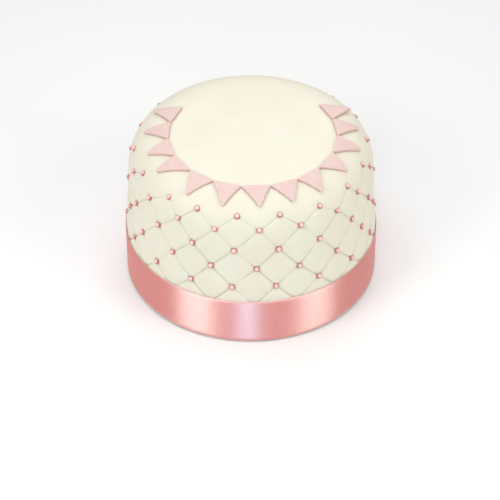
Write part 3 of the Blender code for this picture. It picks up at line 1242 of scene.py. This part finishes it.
@dataclass
class SugarPearls:
    """The pearls on the quilt's crossings."""

    shape: CakeShape
    lattice: QuiltLattice
    finish: PearlSugar
    radius: float = 0.00245
    spread: float = 0.06  # how unequal the pearls are
    standoff: float = -0.0013  # the middle has sunk below the smooth icing
    lumpiness: float = 0.00012
    lump_size: float = 0.0025
    painted_highlight_lift: float = 0.45  # how much more the painted highlight faces up than the pearl's seat
    segments: int = 24
    rings: int = 14
    seed: int = 11

    def seats(self) -> bpy.types.Mesh:
        """Makes one point for each pearl, with its direction, radius and tone.

        Returns:
            The points as a mesh.
        """
        draw = random.Random(self.seed)
        azimuth, distance = self.lattice.seats()
        radii = [self.radius * (1 + draw.uniform(-self.spread, self.spread)) for _ in azimuth]
        tones = [draw.random() for _ in azimuth]
        outward = self.shape.outward(azimuth, distance)
        mesh = bpy.data.meshes.new("pearls")
        mesh.from_pydata(self.shape.point(azimuth, distance, self.standoff).tolist(), [], [])
        add_marks(mesh, {Mark.OUTWARD: outward, Mark.RADIUS: radii, Mark.TONE: tones})
        return mesh

    def recipe(self) -> Recipe:
        """The recipe that sets a slightly uneven pearl on each seat.

        Returns:
            The recipe.
        """
        recipe = Recipe("set_pearls")
        sizes = {
            "Segments": recipe.amount("Segments", self.segments),
            "Rings": recipe.amount("Rings", self.rings),
            "Radius": 1.0,
        }
        lumpiness = recipe.amount("Lumpiness", self.lumpiness)
        outward = recipe.mark(Mark.OUTWARD, "FLOAT_VECTOR")
        turned = recipe.node("FunctionNodeAlignRotationToVector", {"axis": "Z"}, {"Vector": outward})
        inputs = {
            "Points": recipe.source(),
            "Instance": recipe.node("GeometryNodeMeshUVSphere", inputs=sizes),
            "Rotation": turned,
            "Scale": recipe.mark(Mark.RADIUS),
        }
        balls = recipe.node("GeometryNodeInstanceOnPoints", inputs=inputs)
        real = recipe.node("GeometryNodeRealizeInstances", inputs={"Geometry": balls})
        normal = recipe.node("GeometryNodeInputNormal")
        # The facing value places the pearls' painted highlight, tilted upwards towards the light
        lifted = recipe.vector("NORMALIZE", recipe.vector("ADD", outward, (0.0, 0.0, self.painted_highlight_lift)))
        facing = recipe.vector("DOT_PRODUCT", normal, lifted, output="Value")
        highlight_marked = recipe.store(real, Mark.CROWN, facing)
        lumps = recipe.noise(recipe.place(), self.lump_size, detail=0.0) - NOISE_MIDDLE
        lumpy = recipe.moved(highlight_marked, recipe.scaled(normal, lumpiness * lumps))
        recipe.finish(lumpy, self.finish.material())
        return recipe

    def build(self) -> bpy.types.Object:
        """Makes the piece that holds every pearl.

        Returns:
            The finished piece.
        """
        piece = new_object("sugar_pearls", self.seats())
        self.recipe().run(piece)
        fit(piece, self.finish.slot, "cake_body")
        return piece


@dataclass
class PennantGarland:
    """The arc of pennants cut from a sheet of pink icing and laid end to end."""

    shape: CakeShape
    finish: RolledIcing
    first: float = math.radians(-122.5)  # where the arc begins, seen from its own middle
    last: float = math.radians(126.5)
    radius: float = 0.0648
    middle: tuple[float, float] = (0.0011, -0.0059)
    gap: float = -0.0004  # before the corners are rounded
    thickness: float = 0.0024
    rest: float = -0.0001  # above the smooth icing, which has sunk a little more than that
    corner_radii: tuple[float, float, float] = (0.0006, 0.0011, 0.0006)
    edge_rounding: float = 0.0004
    arc_steps: int = 7
    side_steps: int = 26
    edge_steps: int = 4
    face_rings: int = 9
    face_swell: float = 0.0002
    # How far each tip reaches out and swings to the right, in millimetres, from the left end
    tips_mm: tuple[tuple[float, float], ...] = (
        (22.0, -2.0),
        (21.5, -2.7),
        (20.0, -2.8),
        (20.0, -8.5),
        (20.5, -0.3),
        (20.0, 1.9),
        (18.5, 2.7),
        (18.5, 1.3),
        (19.2, -1.3),
        (19.0, 3.0),
        (21.3, 4.8),
        (21.0, 2.7),
        (22.0, -1.5),
    )
    last_tip_lift: float = 0.0022

    def corners(self, index: int) -> np.ndarray:
        """Left end, tip and right end of a pennant in the plane of the unrolled top.

        Args:
            index: The pennant's place from the left end.

        Returns:
            The three corners.
        """
        turns = np.linspace(self.first, self.last, len(self.tips_mm) + 1)[index : index + 2]
        left, right = self.middle + around(turns, self.radius)[:, :2]
        along = (right - left) / np.linalg.norm(right - left)
        left, right = left + along * self.gap / 2, right - along * self.gap / 2
        reach, swing = np.array(self.tips_mm[index]) * MM
        tip = (left + right) / 2 + reach * np.array([along[1], -along[0]]) + swing * along
        return np.array([left, tip, right])

    def outline(self, corners: np.ndarray, inset: float) -> np.ndarray:
        """The rounded triangle at that inset from the cut edge.

        Args:
            corners: The triangle.
            inset: How far inside the edge the line runs.

        Returns:
            The line's points, in order round the triangle.
        """
        arcs = []
        for k, radius in enumerate(self.corner_radii):
            corner, before, after = corners[k], corners[k - 1], corners[(k + 1) % 3]
            to_before, to_after = ((end - corner) / np.linalg.norm(end - corner) for end in (before, after))
            half = math.acos(float(np.clip(to_before @ to_after, -1, 1))) / 2
            inwards = (to_before + to_after) / np.linalg.norm(to_before + to_after)
            centre = corner + inwards * radius / math.sin(half)
            side = math.copysign(1.0, to_after[0] * to_before[1] - to_after[1] * to_before[0])
            sweep = side * (QUARTER - half) * np.linspace(-1, 1, self.arc_steps + 1)
            turns = math.atan2(-inwards[1], -inwards[0]) + sweep
            arcs.append(centre + (radius - inset) * np.stack([np.cos(turns), np.sin(turns)], axis=-1))
        share = np.linspace(0, 1, self.side_steps + 2)[1:-1, None]
        line = []
        for arc, following in zip(arcs, arcs[1:] + arcs[:1]):
            line += [arc, arc[-1] * (1 - share) + following[0] * share]
        return np.concatenate(line)

    def loops(self, corners: np.ndarray) -> list[tuple[np.ndarray, float, float]]:
        """The mesh's rings from under the pennant, over its edge and in to the middle of its face.

        Args:
            corners: The triangle.

        Returns:
            For each ring its points in the plane, its height and how much it is cut edge.
        """
        middle = corners.mean(axis=0)
        shrink = [k / self.face_rings for k in range(1, self.face_rings)]
        under = self.outline(corners, self.edge_rounding)
        rings = [(middle + (under - middle) * share, 0.0, 1.0) for share in shrink]
        rings += [(under, 0.0, 1.0), (self.outline(corners, 0.0), self.edge_rounding / 2, 1.0)]
        for step in range(self.edge_steps + 1):
            turn = QUARTER * step / self.edge_steps
            inset = self.edge_rounding * (1 - math.cos(turn))
            height = self.thickness - self.edge_rounding * (1 - math.sin(turn))
            rings.append((self.outline(corners, inset), height, 1 - step / self.edge_steps))
        rim = rings[-1][0]
        for share in reversed(shrink):
            swell = self.face_swell * (1 - share**2)
            rings.append((middle + (rim - middle) * share, self.thickness + swell, 0.0))
        return rings

    def pennant(self, index: int, material: bpy.types.Material) -> bpy.types.Object:
        """Makes one pennant.

        Args:
            index: Its place from the left end.
            material: Its icing.

        Returns:
            The finished piece.
        """
        corners = self.corners(index)
        rings, heights, cuts = zip(*self.loops(corners))
        count, sides, middle = len(rings), len(rings[0]), corners.mean(axis=0)
        flat = np.concatenate([*rings, [middle, middle]])
        height = np.append(np.repeat(heights, sides), [0.0, self.thickness + self.face_swell])
        cut = np.append(np.repeat(cuts, sides), [1.0, 0.0])

        base, tip = (corners[0] + corners[2]) / 2, corners[1]
        along = np.clip((flat - base) @ (tip - base) / ((tip - base) @ (tip - base)), 0, 1)
        lift = self.last_tip_lift * along**2 if index == len(self.tips_mm) - 1 else 0.0
        azimuth, distance = np.arctan2(flat[:, 0], -flat[:, 1]), np.hypot(flat[:, 0], flat[:, 1])
        points = self.shape.point(azimuth, distance, self.rest + height + lift)

        numbers = np.arange(count * sides).reshape(count, sides).tolist()
        faces = [face for lower, upper in pairwise(numbers) for face in band(lower, upper)]
        faces += fan(count * sides, numbers[0]) + fan(count * sides + 1, numbers[-1][::-1])

        name = f"pennant_{index + 1:02d}"
        mesh = bpy.data.meshes.new(name)
        mesh.from_pydata(points.tolist(), [], faces)
        add_marks(mesh, {Mark.CUT: cut})
        mesh.materials.append(material)
        piece = new_object(name, mesh)
        fit(piece, self.finish.slot, f"flag_{index + 1:02d}")
        return piece

    def build(self) -> list[bpy.types.Object]:
        """Makes every pennant."""
        material = self.finish.material()
        return [self.pennant(index, material) for index in range(len(self.tips_mm))]


@dataclass
class SatinRibbon:
    """The ribbon wound once round the foot, its outer end lapped over its inner end at the back."""

    line: RibbonLine
    finish: Satin
    thickness: float = 0.00035
    overlap: float = math.radians(15)
    step_up: float = math.radians(5)  # stretch in front of the lap where the ribbon climbs on to it
    climb: float = 0.0006
    along_steps: int = 420
    across_steps: int = 14
    waviness: float = 0.0003
    wave_size: float = 0.035
    wave_stretch: tuple[float, float, float] = (1.0, 1.0, 0.5)  # waves are twice as tall as wide

    @property
    def length(self) -> float:
        """The ribbon's length once it is cut."""
        return (TURN + self.overlap) * self.line.radius

    def path(self) -> bpy.types.Mesh:
        """The line that the middle of the ribbon follows.

        Returns:
            The line as a mesh.
        """
        swept = np.linspace(0, TURN + self.overlap, self.along_steps)
        azimuth = math.pi - self.overlap / 2 - swept
        radius = self.line.radius + self.climb * fade_in(swept, TURN - self.step_up, self.step_up)
        points = around(azimuth, radius, self.line.low_edge(azimuth) + self.line.width / 2)
        mesh = bpy.data.meshes.new("satin_ribbon")
        mesh.from_pydata(points.tolist(), list(pairwise(range(len(points)))), [])
        return mesh

    def recipe(self) -> Recipe:
        """The recipe that sweeps the ribbon's width along its path.

        Returns:
            The recipe.
        """
        recipe = Recipe("wind_ribbon")
        width = recipe.amount("Width", self.line.width)
        steps = recipe.amount("Steps Across", self.across_steps)
        waviness = recipe.amount("Waviness", self.waviness)
        wave_size = recipe.amount("Wave Size", self.wave_size)

        path = recipe.node("GeometryNodeMeshToCurve", inputs={"Mesh": recipe.source()})
        path = recipe.node("GeometryNodeSetCurveNormal", {"mode": "Z_UP"}, {"Curve": path})
        reached = recipe.node("GeometryNodeSplineParameter", output="Length")
        path = recipe.store(path, Mark.ALONG, reached)
        ends = {"Start": recipe.joined(Y=-0.5 * width), "End": recipe.joined(Y=0.5 * width)}
        edge = recipe.node("GeometryNodeCurvePrimitiveLine", inputs=ends)
        edge = recipe.node("GeometryNodeResampleCurve", inputs={"Curve": edge, "Count": steps})
        edge = recipe.store(edge, Mark.ACROSS, recipe.part(recipe.place(), "Y"))
        strip = recipe.node("GeometryNodeCurveToMesh", inputs={"Curve": path, "Profile Curve": edge})
        flat = recipe.joined(X=recipe.mark(Mark.ALONG), Y=recipe.mark(Mark.ACROSS))
        strip = recipe.store(strip, Mark.UV, flat, data_type="FLOAT2", domain="CORNER")
        squeezed = recipe.vector("MULTIPLY", recipe.place(), self.wave_stretch)
        waves = waviness * (recipe.noise(squeezed, wave_size, detail=1.0) - NOISE_MIDDLE)
        strip = recipe.moved(strip, recipe.scaled(recipe.node("GeometryNodeInputNormal"), waves))
        recipe.finish(strip, self.finish.material(self.line.width / 2))
        return recipe

    def build(self, wrapped_piece: bpy.types.Object) -> bpy.types.Object:
        """Makes the ribbon.

        Args:
            wrapped_piece: The piece that it is wrapped round. Not used.

        Returns:
            The finished piece.
        """
        piece = new_object("satin_ribbon", self.path())
        self.recipe().run(piece)
        solidify = piece.modifiers.new("thickness", "SOLIDIFY")
        solidify.thickness = self.thickness
        solidify.offset = 0.0
        flatten(piece)
        fit(piece, self.finish.slot, "ribbon")
        return piece


# ---------------------------------------------------------------- studio


@dataclass(frozen=True)
class SoftBox:
    """A large soft light aimed at the cake."""

    name: str
    azimuth: float  # degrees
    elevation: float  # degrees
    distance: float
    width: float
    height: float
    watts: float
    colour: Colour = (1.0, 1.0, 1.0)

    def build(self, target: Vector) -> None:
        """Hangs the light so that it faces a point.

        Args:
            target: The point.
        """
        light = bpy.data.lights.new(self.name, "AREA")
        light.shape = "RECTANGLE"
        light.size, light.size_y = self.width, self.height
        light.energy, light.color = self.watts, self.colour
        elevation = math.radians(self.elevation)
        towards = Vector(around(math.radians(self.azimuth), math.cos(elevation), math.sin(elevation)))
        lamp = new_object(self.name, light)
        lamp.location = target + towards * self.distance
        lamp.rotation_euler = towards.to_track_quat("Z", "Y").to_euler()


@dataclass
class Studio:
    """A plain pale floor, soft lights all round and the camera."""

    camera_place: tuple[float, float, float] = (-0.00086, -1.22462, 1.02286)
    camera_pitch: float = math.radians(50.39)
    lens_mm: float = 141.6
    sensor_mm: float = 36.0
    clipping: Span = (0.01, 50.0)
    target: tuple[float, float, float] = (0.0, 0.0, 0.06)
    room_light: float = 0.33
    room_colour: Colour = (1.0, 0.99, 0.975)
    floor_radius: float = 8.0
    floor_sides: int = 96
    floor_drop: float = 0.0001
    floor_colour: Colour = (0.965, 0.96, 0.955)
    floor_roughness: float = 0.8
    floor_shine: float = 0.2
    fibre_size: float = 0.002
    fibre_shade: float = 0.985  # how bright the darker fibres are, for 1 of the paper
    boxes: tuple[SoftBox, ...] = (
        SoftBox("left_box", -48.0, 36.0, 1.05, 0.46, 0.60, 3.3, (1.0, 0.96, 0.89)),
        SoftBox("right_box", 57.0, 36.0, 1.05, 0.46, 0.60, 3.0, (1.0, 0.965, 0.87)),
        SoftBox("front_box", -3.0, 36.0, 1.4, 0.27, 0.6, 2.75, (0.47, 0.80, 1.0)),
        SoftBox("top_box", 0.0, 85.0, 1.3, 1.0, 1.0, 5.15, (0.93, 0.965, 1.0)),
        SoftBox("far_left_box", -100.0, 66.0, 1.3, 0.8, 0.5, 1.5, (0.97, 0.985, 1.0)),
        SoftBox("back_box", 172.0, 40.0, 1.6, 1.0, 0.8, 5.0),
    )

    def build_camera(self) -> None:
        """Makes the camera at the photograph's place."""
        camera = bpy.data.cameras.new("camera")
        camera.lens = self.lens_mm
        camera.sensor_width = self.sensor_mm
        camera.clip_start, camera.clip_end = self.clipping
        eye = new_object("camera", camera)
        eye.location = self.camera_place
        eye.rotation_euler = (self.camera_pitch, 0.0, 0.0)
        bpy.context.scene.camera = eye

    def build_floor(self) -> None:
        """Lays the floor."""
        surface = Surface("floor_paper")
        fibres = surface.noise(surface.place(), self.fibre_size, detail=3.0)
        shaded = tuple(self.fibre_shade * channel for channel in self.floor_colour)
        surface.set(
            Base_Color=surface.mix(fibres, self.floor_colour, shaded),
            Roughness=self.floor_roughness,
            Specular_IOR_Level=self.floor_shine,
        )
        turns = np.linspace(0, TURN, self.floor_sides, endpoint=False)
        rim = around(turns, self.floor_radius, -self.floor_drop)
        mesh = bpy.data.meshes.new("floor")
        mesh.from_pydata(rim.tolist(), [], [list(range(self.floor_sides))])
        mesh.materials.append(surface.material)
        new_object("floor", mesh)

    def build_lights(self) -> None:
        """Lights the room and hangs the soft boxes."""
        world = bpy.data.worlds.new("room")
        world.use_nodes = True
        background = world.node_tree.nodes["Background"]
        background.inputs["Color"].default_value = (*self.room_colour, 1.0)
        background.inputs["Strength"].default_value = self.room_light
        bpy.context.scene.world = world
        for box in self.boxes:
            box.build(Vector(self.target))

    def build(self) -> None:
        """Sets up the studio."""
        self.build_camera()
        self.build_floor()
        self.build_lights()
        bpy.context.scene.view_settings.view_transform = "Standard"
        log.info("studio: %d soft boxes", len(self.boxes))


def main() -> None:
    """Builds the studio and every piece of the cake."""
    logging.basicConfig(level=logging.INFO, format="%(name)s: %(message)s")
    Studio().build()
    shape, lattice, ribbon = CakeShape(), QuiltLattice(), RibbonLine()
    icing = IcingCover(shape, lattice, ribbon, CREAM_ICING).build()
    SugarPearls(shape, lattice, PEARL_SUGAR).build()
    PennantGarland(shape, PINK_ICING).build()
    SatinRibbon(ribbon, PINK_SATIN).build(icing)


if __name__ == "__main__":
    main()
